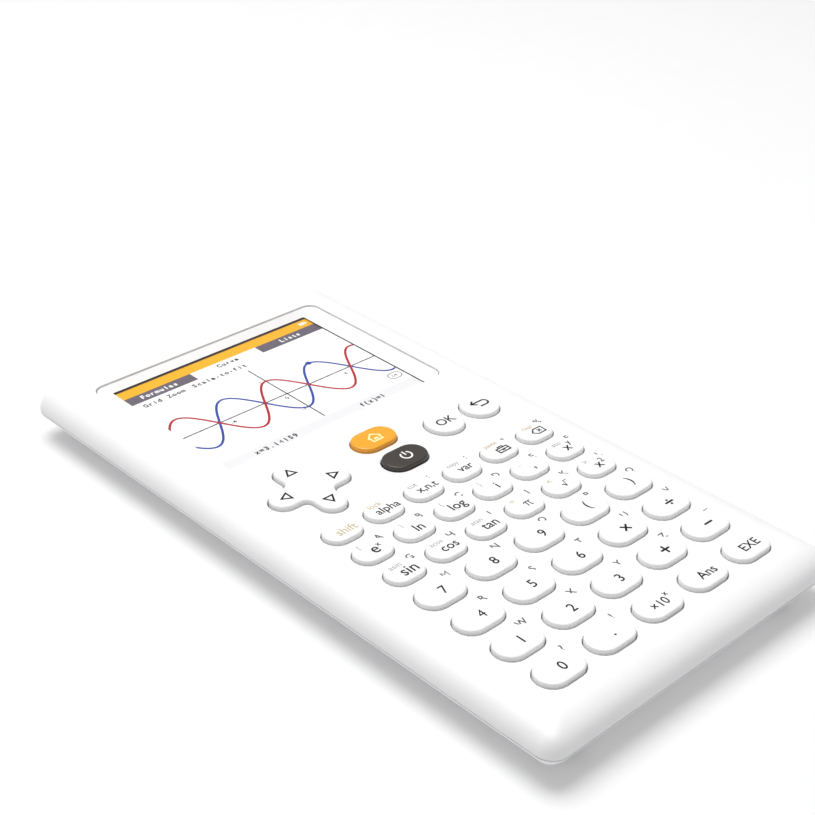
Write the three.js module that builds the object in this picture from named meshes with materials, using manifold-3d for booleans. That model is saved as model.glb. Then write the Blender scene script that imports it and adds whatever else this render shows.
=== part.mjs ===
// A handheld graphing calculator, lying face up: a white two-part casing, a colour display behind a clear
// window, a four-way arrow pad and 42 separate keys, and the board, key membrane and battery inside.
// Millimetres. +X is to the reader's right, +Y runs towards the display end, +Z is up out of the face.
// The origin is under the middle of the flat back, so the whole object stands on Z = 0.
import * as THREE from "three";
import { ConvexGeometry } from "three/addons/geometries/ConvexGeometry.js";
import { mergeVertices } from "three/addons/utils/BufferGeometryUtils.js";
import Module from "manifold-3d";

const wasm = await Module();
wasm.setup();

// Casing
const BODY = { width: 85, length: 160, corner: 4, leastCorner: 2.5 };
const FACE_Z = 12.6; // the flat front face
const SEAM_Z = 7.2; // where the front shell meets the rear shell
const SEAM_GAP = 0.15;
const RIM_LOW_Z = 6.8; // the rear shell's upright rim ends here and its curved back begins
const BACK_INSET = 13; // how far the flat back stands in from the rim
const BACK_STEPS = 4;
const WALL = 1.8; // the front shell's sides
const FACE_WALL = 2.4; // its flat face
const BACK_WALL = 1.6;
const SHOULDER = { across: 6.5, drop: 5, steps: 5 }; // elliptical rounding from face to side
const LIP = { inset: 2.1, thickness: 0.8, low: 6, high: 8 }; // the rear shell's lip inside the front shell

// Keys
const GAP = 0.25; // between a key and the edge of its opening
const KEY_TOP_Z = 13.7;
const KEY_EDGE = 0.45; // rounding of a key's top edge
const FLANGE = { width: 0.6, low: 9.35, high: 10.05 }; // keeps a key in the casing
const FOOT = { radius: 1.5, low: 8.7, sides: 8 };
const SUNK = 0.1; // how far one half of a joined piece stands inside the other
const SMALL_KEY = { width: 9.5, height: 6.8 }; // sizes of the openings
const LARGE_KEY = { width: 11.7, height: 7.6 };
const ROUND_KEY = { width: 9.7, height: 9.7 };
const FUNCTION_KEYS = { pitchX: 11.3, pitchY: 9, firstY: -10.5, columns: 6 };
const NUMBER_KEYS = { pitchX: 13.85, pitchY: 10, firstY: -37.8, columns: 5 };
const HOME_Y = 11;
const ON_OFF_Y = 1.1;
const ROUND_KEYS = { y: 5.7, okX: 16.4, backX: 27.5 };

// Arrow pad, which rocks on a pivot under its middle
const PAD = { x: -22.8, y: 5.7, armHalf: 3.1, reach: 10.15, fillet: 1.9, gap: 0.35 };
const PAD_FLANGE = { width: 0.6, low: 9, high: 9.55 };
const PIVOT = { radius: 2.6, low: 8.25, high: 8.75 };

// Display
const WINDOW = { y: 46.3, halfX: 33, halfY: 23.9, corner: 2.8, floor: 10.8 }; // the clear window's recess
const LENS = { gap: 0.25, low: 10.85, high: 12.45 };
const SIGHT = { halfX: 30, halfY: 22.8 }; // opening in the casing behind the window
const GASKET = { low: 9.9, high: 10.15, rimX: 2.4, rimY: 0.6 };
const PANEL = { left: -36.4, right: 32.8, low: 7.6, high: 9.85, y: 46.4, halfY: 25 };
const PANEL_GLASS = { halfX: 29.5, halfY: 22.1, high: 10.4 }; // stands up into the sight opening
const FLEX = { width: 14, x: 4, thickness: 0.2, start: 0.3, turn: 2.2, end: 4.4, aboveBoard: 0.1 };

// Inside
const BOARD = { halfX: 38.6, halfY: 76.4, corner: 5, low: 6.3, high: 7.3 };
const CHIPS = [
  { name: "processor", width: 14, length: 14, height: 1.2, x: 0, y: 44 },
  { name: "memory", width: 6, length: 5, height: 0.9, x: 18, y: 40 },
  { name: "display driver", width: 9, length: 3, height: 1.4, x: -22, y: 60 },
];
const HOLE_CLEARANCE = 0.4; // round whatever passes through the board
const MEMBRANE = { halfX: 37.5, top: 16.2, bottom: -72, corner: 3, low: 7.4, high: 8 };
const BATTERY = { width: 46, length: 68, low: 1.9, high: 6, y: -14, corner: 2, edge: 0.6 };
const RESET = { y: -58, side: 3.2, low: 4.9, high: 6.2, plunger: 0.7, plungerLow: 4.5, pinHole: 0.8 };
const USB = { z: 7, width: 8.94, height: 3.2, back: 71.6, mouth: 78.6, wall: 0.3, clearance: 0.35 };
const USB_FLOOR = 1; // thickness of the socket's closed end
const TONGUE = { width: 6.6, thickness: 0.7, mouth: 77.5 };
const LIGHT = { x: -12, z: 7.4, radius: 0.7, inner: 76.8, outer: 79.9, clearance: 0.15 };

// Screws, at the four corners
const SCREW = { x: 31, y: 74.6, headRadius: 1.7, headLow: 3.4, headHigh: 4.5, radius: 0.9, tip: 8.9 };
const DRIVE = { radius: 0.7, depth: 0.7 }; // the socket in a screw's head
const BOSS = { radius: 2.2, low: 5.9, pilot: 1.1, pilotEnd: 9.4 };
const POST = { radius: 2.9, high: 5.7, counterbore: 2, seat: 4.7, hole: 1.2 };

const ARC_STEPS = 3;
const CORNER_STEPS = 3;
const SIDES = 14; // of a round boss, post or screw
const BEYOND = 3; // how far a cutter runs past the face it cuts

function solidFrom(geometry) {
  const bare = geometry.clone();
  bare.deleteAttribute("normal");
  bare.deleteAttribute("uv");
  const merged = mergeVertices(bare, 1e-4);
  const vertProperties = merged.attributes.position.array;
  const triVerts = new Uint32Array(merged.index.array);
  return new wasm.Manifold(new wasm.Mesh({ numProp: 3, vertProperties, triVerts }));
}

function geometryFrom(solid) {
  const { vertProperties, triVerts } = solid.getMesh();
  return new THREE.BufferGeometry()
    .setAttribute("position", new THREE.BufferAttribute(vertProperties, 3))
    .setIndex(new THREE.BufferAttribute(triVerts, 1));
}

function joined(solids) {
  return solids.reduce((whole, piece) => whole.add(piece));
}

function cut(solid, cutters) {
  return solid.subtract(joined(cutters));
}

// Outlines

function stadium({ width, height }, x = 0, y = 0) {
  const radius = height / 2;
  const half = width / 2 - radius;
  const quarter = Math.PI / 2;
  return new THREE.Shape()
    .absarc(x + half, y, radius, -quarter, quarter)
    .absarc(x - half, y, radius, quarter, 3 * quarter);
}

function roundedRectangle(halfX, halfY, radius, x = 0, y = 0) {
  const shape = new THREE.Shape();
  const corners = [[1, 1], [-1, 1], [-1, -1], [1, -1]];
  corners.forEach(([signX, signY], corner) => {
    const start = (corner * Math.PI) / 2;
    const centreX = x + signX * (halfX - radius);
    const centreY = y + signY * (halfY - radius);
    shape.absarc(centreX, centreY, radius, start, start + Math.PI / 2);
  });
  return shape;
}

// A plus sign with round ends and rounded inner corners.
function cross(armHalf, reach, fillet, x, y) {
  const shape = new THREE.Shape();
  for (let arm = 0; arm < 4; arm++) {
    const turn = (arm * Math.PI) / 2;
    const place = (u, v) => [
      x + u * Math.cos(turn) - v * Math.sin(turn),
      y + u * Math.sin(turn) + v * Math.cos(turn),
    ];
    const inner = armHalf + fillet;
    shape.absarc(...place(reach - armHalf, 0), armHalf, turn - Math.PI / 2, turn + Math.PI / 2);
    shape.absarc(...place(inner, inner), fillet, turn - Math.PI / 2, turn - Math.PI, true);
  }
  return shape;
}

// Simple solids

function prism(shape, low, high) {
  const options = { depth: high - low, bevelEnabled: false, curveSegments: ARC_STEPS };
  return solidFrom(new THREE.ExtrudeGeometry(shape, options).translate(0, 0, low));
}

// A prism whose ends are rounded over by one step.
function softPrism(shape, low, high, edge) {
  const options = {
    depth: high - low - 2 * edge,
    bevelThickness: edge,
    bevelSize: edge,
    bevelOffset: -edge,
    bevelSegments: 1,
    curveSegments: ARC_STEPS,
  };
  return solidFrom(new THREE.ExtrudeGeometry(shape, options).translate(0, 0, low + edge));
}

function post(x, y, radius, low, high, sides = SIDES) {
  const upright = new THREE.CylinderGeometry(radius, radius, high - low, sides).rotateX(Math.PI / 2);
  return solidFrom(upright.translate(x, y, (low + high) / 2));
}

function block(width, length, low, high, x = 0, y = 0) {
  const box = new THREE.BoxGeometry(width, length, high - low);
  return solidFrom(box.translate(x, y, (low + high) / 2));
}

// An outline drawn in X and Z, extruded along Y from near to far.
function lengthwise(shape, near, far) {
  const options = { depth: far - near, bevelEnabled: false, curveSegments: ARC_STEPS };
  const along = new THREE.ExtrudeGeometry(shape, options).rotateX(Math.PI / 2);
  return solidFrom(along.translate(0, far, 0));
}

// The convex solid through a stack of rounded rectangles, each [height, inset from the casing's outline].
function casingSolid(levels) {
  const points = levels.flatMap(([z, inset]) => {
    const corner = Math.max(BODY.corner - inset, BODY.leastCorner);
    const ring = roundedRectangle(BODY.width / 2 - inset, BODY.length / 2 - inset, corner);
    return ring.getPoints(CORNER_STEPS).map((point) => new THREE.Vector3(point.x, point.y, z));
  });
  return solidFrom(new ConvexGeometry(points));
}

// Casing profiles

// The shoulder is a quarter of an ellipse. Inside, it is the same ellipse drawn in by the walls.
function shoulderLevels(wall, faceWall) {
  const across = SHOULDER.across - wall;
  const drop = SHOULDER.drop - faceWall;
  return Array.from({ length: SHOULDER.steps + 1 }, (_, step) => {
    const angle = ((Math.PI / 2) * step) / SHOULDER.steps;
    const inset = wall + across * (1 - Math.cos(angle));
    return [FACE_Z - SHOULDER.drop + drop * Math.sin(angle), inset];
  });
}

// The back is an arc that leaves the flat underside level and rises to the rim.
function backLevels(wall) {
  const radius = (BACK_INSET ** 2 + RIM_LOW_Z ** 2) / (2 * RIM_LOW_Z);
  const steepest = Math.asin(BACK_INSET / radius);
  return Array.from({ length: BACK_STEPS + 1 }, (_, step) => {
    const angle = (steepest * step) / BACK_STEPS;
    const inset = BACK_INSET - (radius - wall) * Math.sin(angle);
    return [radius - (radius - wall) * Math.cos(angle), inset];
  });
}

const screwPlaces = [[1, 1], [-1, 1], [-1, -1], [1, -1]].map(([x, y]) => [x * SCREW.x, y * SCREW.y]);
const screwNames = ["screw_top_right", "screw_top_left", "screw_bottom_left", "screw_bottom_right"];

// Keys: name, outline, place and colour

const functionKeyNames = [
  ["shift", "alpha", "variable", "stored_value", "toolbox", "backspace"],
  ["exponential", "natural_log", "log", "imaginary", "comma", "power_of"],
  ["sine", "cosine", "tangent", "pi", "square_root", "square"],
];
const numberKeyNames = [
  ["7", "8", "9", "open_bracket", "close_bracket"],
  ["4", "5", "6", "multiply", "divide"],
  ["1", "2", "3", "plus", "minus"],
  ["0", "decimal_point", "times_ten", "answer", "enter"],
];

function gridOfKeys(names, grid, size) {
  return names.flatMap((row, rowIndex) =>
    row.map((name, column) => ({
      name: `key_${name}`,
      size,
      x: (column - (grid.columns - 1) / 2) * grid.pitchX,
      y: grid.firstY - rowIndex * grid.pitchY,
      colour: "white",
    })),
  );
}

const keys = [
  { name: "key_home", size: LARGE_KEY, x: 0, y: HOME_Y, colour: "amber" },
  { name: "key_on_off", size: LARGE_KEY, x: 0, y: ON_OFF_Y, colour: "charcoal" },
  { name: "key_ok", size: ROUND_KEY, x: ROUND_KEYS.okX, y: ROUND_KEYS.y, colour: "white" },
  { name: "key_back", size: ROUND_KEY, x: ROUND_KEYS.backX, y: ROUND_KEYS.y, colour: "white" },
  ...gridOfKeys(functionKeyNames, FUNCTION_KEYS, SMALL_KEY),
  ...gridOfKeys(numberKeyNames, NUMBER_KEYS, LARGE_KEY),
];

function grown({ width, height }, by) {
  return { width: width + 2 * by, height: height + 2 * by };
}

// A key is a cap, a flange under the casing's face and a foot that meets the membrane.
function keySolid({ size, x, y }) {
  const cap = softPrism(stadium(grown(size, -GAP), x, y), FLANGE.low + SUNK, KEY_TOP_Z, KEY_EDGE);
  const flange = prism(stadium(grown(size, FLANGE.width - GAP), x, y), FLANGE.low, FLANGE.high);
  const foot = post(x, y, FOOT.radius, FOOT.low, FLANGE.low + SUNK, FOOT.sides);
  return joined([cap, flange, foot]);
}

function arrowPad() {
  const { x, y, armHalf, reach, fillet } = PAD;
  const skirt = PAD_FLANGE.width;
  const cap = softPrism(cross(armHalf, reach, fillet, x, y), PAD_FLANGE.low + SUNK, KEY_TOP_Z, KEY_EDGE);
  const around = cross(armHalf + skirt, reach + skirt, fillet - skirt, x, y);
  return joined([cap, prism(around, PAD_FLANGE.low, PAD_FLANGE.high)]);
}

// Casing

function keyOpenings() {
  const openings = keys.map(({ size, x, y }) => stadium(size, x, y));
  const { x, y, armHalf, reach, fillet, gap } = PAD;
  openings.push(cross(armHalf + gap, reach + gap, fillet - gap, x, y));
  return openings.map((outline) => prism(outline, FACE_Z - BEYOND, FACE_Z + BEYOND));
}

function portOpenings() {
  const port = stadium(grown({ width: USB.width, height: USB.height }, USB.clearance), 0, USB.z);
  const across = 2 * (LIGHT.radius + LIGHT.clearance);
  const pipe = { width: across, height: across };
  return [
    lengthwise(port, USB.back - USB_FLOOR, BODY.length / 2 + BEYOND),
    lengthwise(stadium(pipe, LIGHT.x, LIGHT.z), USB.back, BODY.length / 2 + BEYOND),
  ];
}

function frontShell() {
  const outer = casingSolid([[SEAM_Z, 0], ...shoulderLevels(0, 0)]);
  const inner = casingSolid([[SEAM_Z - BEYOND, WALL], ...shoulderLevels(WALL, FACE_WALL)]);
  const { y, halfX, halfY, corner, floor } = WINDOW;
  const recess = prism(roundedRectangle(halfX, halfY, corner, 0, y), floor, FACE_Z + BEYOND);
  const sight = block(2 * SIGHT.halfX, 2 * SIGHT.halfY, FACE_Z - BEYOND, FACE_Z, 0, y);
  const bosses = screwPlaces.map(([x, py]) => post(x, py, BOSS.radius, BOSS.low, FACE_Z - FACE_WALL / 2));
  const pilots = screwPlaces.map(([x, py]) => post(x, py, BOSS.pilot, BOSS.low - BEYOND, BOSS.pilotEnd));
  const hollow = joined([cut(outer, [inner]), ...bosses.map((boss) => boss.intersect(filledBody()))]);
  return cut(hollow, [recess, sight, ...keyOpenings(), ...pilots, ...portOpenings()]);
}

// The outside of the closed casing, which trims whatever is built against its inside.
function filledBody() {
  return casingSolid([...backLevels(0), [SEAM_Z, 0], ...shoulderLevels(0, 0)]);
}

function rearShell() {
  const top = SEAM_Z - SEAM_GAP;
  const outer = casingSolid([...backLevels(0), [top, 0]]);
  const inner = casingSolid([...backLevels(BACK_WALL), [top + BEYOND, BACK_WALL]]);
  const upright = (inset, low, high) => casingSolid([[low, inset], [high, inset]]);
  const middle = upright(LIP.inset + LIP.thickness, LIP.low - BEYOND, LIP.high + BEYOND);
  const lip = cut(upright(LIP.inset, LIP.low, LIP.high), [middle]);
  const ledge = cut(upright(BACK_WALL / 2, LIP.low, RIM_LOW_Z), [middle]);
  const posts = screwPlaces.map(([x, y]) => post(x, y, POST.radius, 0, POST.high).intersect(filledBody()));
  const bores = screwPlaces.flatMap(([x, y]) => [
    post(x, y, POST.counterbore, -BEYOND, POST.seat),
    post(x, y, POST.hole, 0, POST.high + BEYOND),
  ]);
  const pinHole = post(0, RESET.y, RESET.pinHole, -BEYOND, BEYOND);
  const shell = joined([cut(outer, [inner]), ledge.intersect(filledBody()), lip, ...posts]);
  return cut(shell, [...bores, pinHole, ...portOpenings()]);
}

// Display

function lens() {
  const { y, halfX, halfY, corner } = WINDOW;
  return prism(roundedRectangle(halfX - LENS.gap, halfY - LENS.gap, corner, 0, y), LENS.low, LENS.high);
}

function gasket() {
  const ring = block(2 * (SIGHT.halfX + GASKET.rimX), 2 * SIGHT.halfY, GASKET.low, GASKET.high, 0, WINDOW.y);
  const middle = block(2 * SIGHT.halfX, 2 * (SIGHT.halfY - GASKET.rimY), 0, FACE_Z, 0, WINDOW.y);
  return cut(ring, [middle]);
}

function displayPanel() {
  const width = PANEL.right - PANEL.left;
  const middle = (PANEL.left + PANEL.right) / 2;
  const frame = block(width, 2 * PANEL.halfY, PANEL.low, PANEL.high, middle, PANEL.y);
  const { halfX, halfY, high } = PANEL_GLASS;
  return joined([frame, block(2 * halfX, 2 * halfY, PANEL.high - SUNK, high, 0, WINDOW.y)]);
}

// A ribbon that leaves the panel's lower edge and folds down to the board.
function displayFlex() {
  const edge = PANEL.y - PANEL.halfY;
  const [start, turn, end] = [FLEX.start, FLEX.turn, FLEX.end].map((distance) => edge - distance);
  const upper = (PANEL.low + PANEL.high) / 2;
  const lower = BOARD.high + FLEX.aboveBoard;
  const t = FLEX.thickness;
  const line = [[start, upper], [turn, upper], [turn, lower + t], [end, lower + t]];
  const under = [[end, lower], [turn + t, lower], [turn + t, upper - t], [start, upper - t]];
  const profile = new THREE.Shape([...line, ...under].map(([y, z]) => new THREE.Vector2(y, z)));
  const options = { depth: FLEX.width, bevelEnabled: false };
  const ribbon = new THREE.ExtrudeGeometry(profile, options).rotateX(Math.PI / 2).rotateZ(Math.PI / 2);
  return solidFrom(ribbon.translate(FLEX.x, 0, 0));
}

// Inside

function mainBoard() {
  const { halfX, halfY, corner, low, high } = BOARD;
  const plate = prism(roundedRectangle(halfX, halfY, corner), low, high);
  const chips = CHIPS.map((chip) => {
    return block(chip.width, chip.length, low - chip.height, low + SUNK, chip.x, chip.y);
  });
  const holes = screwPlaces.map(([x, y]) => post(x, y, BOSS.radius + HOLE_CLEARANCE, 0, FACE_Z));
  const depth = halfY - USB.back + HOLE_CLEARANCE;
  const notch = block(USB.width + 2 * HOLE_CLEARANCE, 2 * depth, 0, FACE_Z, 0, halfY);
  return cut(joined([plate, ...chips]), [...holes, notch]);
}

function membrane() {
  const { halfX, top, bottom, corner, low, high } = MEMBRANE;
  return prism(roundedRectangle(halfX, (top - bottom) / 2, corner, 0, (top + bottom) / 2), low, high);
}

function battery() {
  const outline = roundedRectangle(BATTERY.width / 2, BATTERY.length / 2, BATTERY.corner, 0, BATTERY.y);
  return softPrism(outline, BATTERY.low, BATTERY.high, BATTERY.edge);
}

function usbPort() {
  const { width, height, wall, back, mouth, z } = USB;
  const inside = grown({ width, height }, -wall);
  const floor = back + USB_FLOOR;
  const can = lengthwise(stadium({ width, height }, 0, z), back, mouth);
  const bore = lengthwise(stadium(inside, 0, z), floor, mouth + BEYOND);
  const length = TONGUE.mouth - floor + SUNK;
  const half = TONGUE.thickness / 2;
  const tongue = block(TONGUE.width, length, z - half, z + half, 0, TONGUE.mouth - length / 2);
  return joined([cut(can, [bore]), tongue]);
}

function lightPipe() {
  const size = { width: 2 * LIGHT.radius, height: 2 * LIGHT.radius };
  return lengthwise(stadium(size, LIGHT.x, LIGHT.z), LIGHT.inner, LIGHT.outer);
}

function resetSwitch() {
  const body = block(RESET.side, RESET.side, RESET.low, RESET.high, 0, RESET.y);
  return joined([body, post(0, RESET.y, RESET.plunger, RESET.plungerLow, RESET.low + SUNK)]);
}

function screw([x, y]) {
  const head = post(x, y, SCREW.headRadius, SCREW.headLow, SCREW.headHigh);
  const shank = post(x, y, SCREW.radius, SCREW.headHigh - SUNK, SCREW.tip);
  const drive = post(x, y, DRIVE.radius, SCREW.headLow - BEYOND, SCREW.headLow + DRIVE.depth);
  return cut(joined([head, shank]), [drive]);
}

// Materials

function plastic(colour, roughness = 0.35) {
  return new THREE.MeshStandardMaterial({ color: colour, roughness, metalness: 0 });
}

const materials = {
  shell: plastic(0xf4f4f4),
  white: plastic(0xf7f6f5, 0.3),
  amber: plastic(0xf4ab2c, 0.3),
  charcoal: plastic(0x3c3836, 0.35),
  clear: new THREE.MeshStandardMaterial({ roughness: 0.05, transparent: true, opacity: 0.35 }),
  foam: plastic(0x1c1c1c, 0.9),
  panel: plastic(0x202024, 0.25),
  ribbon: plastic(0xb5762a, 0.5),
  board: plastic(0x1d5b3a, 0.5),
  silicone: plastic(0xd9dadc, 0.7),
  pouch: new THREE.MeshStandardMaterial({ color: 0xb9bcc0, roughness: 0.4, metalness: 0.7 }),
  steel: new THREE.MeshStandardMaterial({ color: 0xa9abad, roughness: 0.35, metalness: 1 }),
};

const calculator = new THREE.Group();

function place(name, solid, material) {
  const mesh = new THREE.Mesh(geometryFrom(solid), material);
  mesh.name = name;
  calculator.add(mesh);
}

place("front_shell", frontShell(), materials.shell);
place("rear_shell", rearShell(), materials.shell);
place("screen_lens", lens(), materials.clear);
place("screen_gasket", gasket(), materials.foam);
place("display_panel", displayPanel(), materials.panel);
place("display_flex", displayFlex(), materials.ribbon);
place("main_board", mainBoard(), materials.board);
place("key_membrane", membrane(), materials.silicone);
place("battery", battery(), materials.pouch);
place("usb_port", usbPort(), materials.steel);
place("status_light_pipe", lightPipe(), materials.clear);
place("reset_switch", resetSwitch(), materials.foam);
screwPlaces.forEach((at, corner) => place(screwNames[corner], screw(at), materials.steel));
place("arrow_pad_pivot", post(PAD.x, PAD.y, PIVOT.radius, PIVOT.low, PIVOT.high), materials.silicone);
place("arrow_pad", arrowPad(), materials.white);
keys.forEach((key) => place(key.name, keySolid(key), materials[key.colour]));

export default calculator;
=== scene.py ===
"""A handheld graphing calculator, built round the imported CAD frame. Shapes are drawn in millimetres
and handed to Blender in metres. +X is to the reader's right, +Y towards the display, +Z up."""
import math

import bmesh
import bpy
import numpy as np
from mathutils import Matrix, Vector
from mathutils.geometry import delaunay_2d_cdt


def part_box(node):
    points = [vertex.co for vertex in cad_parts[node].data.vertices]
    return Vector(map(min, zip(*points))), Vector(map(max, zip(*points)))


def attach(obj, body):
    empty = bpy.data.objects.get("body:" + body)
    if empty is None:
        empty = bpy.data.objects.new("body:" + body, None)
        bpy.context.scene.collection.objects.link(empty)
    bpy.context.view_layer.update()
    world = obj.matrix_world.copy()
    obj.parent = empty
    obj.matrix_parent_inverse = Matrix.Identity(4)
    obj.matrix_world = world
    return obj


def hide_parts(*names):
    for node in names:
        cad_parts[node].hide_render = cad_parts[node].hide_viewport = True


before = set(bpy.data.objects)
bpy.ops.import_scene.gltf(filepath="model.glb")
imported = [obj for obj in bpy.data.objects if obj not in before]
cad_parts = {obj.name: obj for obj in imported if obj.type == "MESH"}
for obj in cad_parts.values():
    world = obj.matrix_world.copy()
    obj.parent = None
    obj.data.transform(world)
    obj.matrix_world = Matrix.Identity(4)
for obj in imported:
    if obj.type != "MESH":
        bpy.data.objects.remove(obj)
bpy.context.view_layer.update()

MM = 0.001


# ---- the CAD's own measures

def box(node):
    low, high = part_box(node)
    return [v / MM for v in low], [v / MM for v in high]


def centre(node):
    low, high = box(node)
    return (low[0] + high[0]) / 2, (low[1] + high[1]) / 2


BODY_LOW, BODY_HIGH = box("front_shell")
HALF_X = (BODY_HIGH[0] - BODY_LOW[0]) / 2
HALF_Y = (BODY_HIGH[1] - BODY_LOW[1]) / 2
FACE_Z = BODY_HIGH[2]
KEY_TOP = box("key_home")[1][2]
FLANGE_WIDTH, FLANGE_LOW, FLANGE_HIGH = 0.6, 9.35, 10.05  # keeps a key in the casing
GAP = 0.25  # between a key and the edge of its opening
BODY_CORNER, LEAST_CORNER = 4, 2.5
SEAM_Z = 7.2  # where the front shell meets the rear shell
RIM_TOP, RIM_LOW = 7.05, 6.8
SHOULDER_ACROSS, SHOULDER_DROP = 6.5, 5  # the rounding from the face to the sides
WALL, FACE_WALL = 1.8, 2.4
BACK_INSET, BACK_WALL = 13, 1.6
FLAT_OVERLAP = 0.3  # how far a curved skin runs on over the flat it meets
TONGUE = {"inner": 2.9, "outer": 2.1, "top": 8.0}  # the rear shell's lip inside the front shell
# Each of these is a list of radius and height.
BOSS, PILOT, POST = [(2.2, 5.9), (2.2, 10.4)], [(1.1, 4), (1.1, 9.4)], [(2.9, -1), (2.9, 5.7)]
COUNTERBORE = [(2.0, -1), (2.0, 4.6), (1.9, 4.7), (1.2, 4.7), (1.2, 8)]
RESET_HOLE = [(1.4, -1), (0.8, 0.35), (0.8, 3)]
POST_SIDES, PILOT_SIDES = 15, 11
PORT_CLEARANCE, LIGHT_CLEARANCE, LIGHT_HOLE_END = 0.35, 0.15, 71.6
SCREWS = ["screw_top_right", "screw_top_left", "screw_bottom_left", "screw_bottom_right"]


# ---- meshes

INK_PROUD, INK_SUNK = 0.02, 0.05  # how far a print stands above and below its surface
TOUCHING = 2e-7  # points this close, in metres, are one


class Shape:
    """Points in millimetres and faces, each with a material number and a smooth or flat look."""

    def __init__(self):
        self.points, self.faces, self.slots, self.smooth = [], [], [], []

    def add(self, points):
        start = len(self.points)
        self.points += [tuple(p) for p in points]
        return list(range(start, start + len(points)))

    def face(self, indices, slot=0, smooth=True):
        self.faces.append(list(indices))
        self.slots.append(slot)
        self.smooth.append(smooth)

    def loft(self, rings, slot=0, flip=False, start=True, end=True, smooth=True):
        """A skin over rings of equal length. It faces out where anticlockwise rings rise."""
        loops = [self.add(r) for r in rings]
        for a, b in zip(loops, loops[1:]):
            for j in range(len(a)):
                k = (j + 1) % len(a)
                quad = [a[j], a[k], b[k], b[j]]
                self.face(quad[::-1] if flip else quad, slot, smooth)
        if start:
            self.face(loops[0] if flip else loops[0][::-1], slot, False)
        if end:
            self.face(loops[-1][::-1] if flip else loops[-1], slot, False)

    def plate(self, points, triangles, z, down=False):
        """Triangles over a plane, flat shaded."""
        at = self.add([(x, y, z) for x, y in points])
        for t in triangles:
            f = [at[i] for i in t]
            self.face(f[::-1] if down else f, smooth=False)

    def emboss(self, points, faces, height, proud=INK_PROUD, sunk=INK_SUNK, slot=0):
        """A thin closed prism that stands proud of the surface z = height(x, y)."""
        top = self.add([(x, y, height(x, y) + proud) for x, y in points])
        low = self.add([(x, y, height(x, y) - sunk) for x, y in points])
        edges = {}
        for f in faces:
            corners = [points[i] for i in f]
            area = sum(p[0] * q[1] - q[0] * p[1] for p, q in zip(corners, corners[1:] + corners[:1]))
            f = f if area > 0 else f[::-1]
            self.face([top[i] for i in f], slot, False)
            self.face([low[i] for i in f][::-1], slot, False)
            for a, b in zip(f, f[1:] + f[:1]):
                edges[(a, b)] = edges.get((a, b), 0) + 1
        for a, b in edges:
            if (b, a) not in edges:
                self.face([top[b], top[a], low[a], low[b]], slot, False)

    def mesh(self, name):
        mesh = bpy.data.meshes.new(name)
        mesh.from_pydata([tuple(c * MM for c in p) for p in self.points], [], self.faces)
        mesh.polygons.foreach_set("material_index", self.slots)
        mesh.polygons.foreach_set("use_smooth", self.smooth)
        bm = bmesh.new()
        bm.from_mesh(mesh)
        bmesh.ops.remove_doubles(bm, verts=bm.verts, dist=TOUCHING)
        bm.to_mesh(mesh)
        bm.free()
        mesh.update()
        return mesh


SHELL_EDGE, SHARP_EDGE = 30, 35  # faces that meet at more than this, in degrees, keep a sharp edge


def piece(name, shape, materials, body, sharp=SHARP_EDGE, replaces=()):
    """Makes the object, gives it its materials and puts it on its CAD body."""
    mesh = shape if isinstance(shape, bpy.types.Mesh) else shape.mesh(name)
    obj = bpy.data.objects.new(name, mesh)
    bpy.context.scene.collection.objects.link(obj)
    for m in materials:
        mesh.materials.append(m)
    mesh.set_sharp_from_angle(angle=math.radians(sharp))
    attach(obj, body)
    if replaces:
        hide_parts(*replaces)
    return obj


def boolean(mesh, operation, cutter):
    """The mesh joined with, cut by or trimmed to another closed mesh."""
    first = bpy.data.objects.new("first", mesh)
    second = bpy.data.objects.new("second", cutter)
    for o in (first, second):
        bpy.context.scene.collection.objects.link(o)
    modifier = first.modifiers.new("cut", "BOOLEAN")
    modifier.operation = operation
    modifier.solver = "EXACT"
    modifier.object = second
    graph = bpy.context.evaluated_depsgraph_get()
    result = bpy.data.meshes.new_from_object(first.evaluated_get(graph))
    for o in (first, second):
        bpy.data.objects.remove(o)
    return result


# ---- outlines

def arc(x, y, radius, start, stop, steps):
    """Points along an arc, its two ends included, in degrees."""
    angles = [math.radians(start + (stop - start) * i / steps) for i in range(steps + 1)]
    return [(x + radius * math.cos(a), y + radius * math.sin(a)) for a in angles]


ROUND = 1e-6  # a straight edge shorter than this makes a circle


def stadium(half, radius, x, y, steps):
    """Anticlockwise, from the lower right. half is the half length of the straight edges."""
    if half < ROUND:
        count = 2 * (steps + 1)
        return [(x + radius * math.cos(2 * math.pi * i / count - math.pi / 2),
                 y + radius * math.sin(2 * math.pi * i / count - math.pi / 2)) for i in range(count)]
    return arc(x + half, y, radius, -90, 90, steps) + arc(x - half, y, radius, 90, 270, steps)


def rectangle(half_x, half_y, radius, x=0, y=0, steps=8):
    points = []
    in_x, in_y = half_x - radius, half_y - radius
    for corner, (sx, sy) in enumerate([(1, 1), (-1, 1), (-1, -1), (1, -1)]):
        points += arc(x + sx * in_x, y + sy * in_y, radius, corner * 90, corner * 90 + 90, steps)
    return points


def at_height(outline, z):
    return [(x, y, z) for x, y in outline]


def casing_plan(inset):
    return rectangle(HALF_X - inset, HALF_Y - inset, max(BODY_CORNER - inset, LEAST_CORNER))


def casing_ring(inset, z):
    return at_height(casing_plan(inset), z)


def round_rings(x, y, sides, profile):
    """Circles of 2 * sides + 2 corners round an upright axis, one for each radius and height."""
    return [at_height(stadium(0, radius, x, y, sides), z) for radius, z in profile]


def sideways(outline, y):
    """An outline in X and Z, stood up at y."""
    return [(x, y, z) for x, z in outline]


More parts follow.
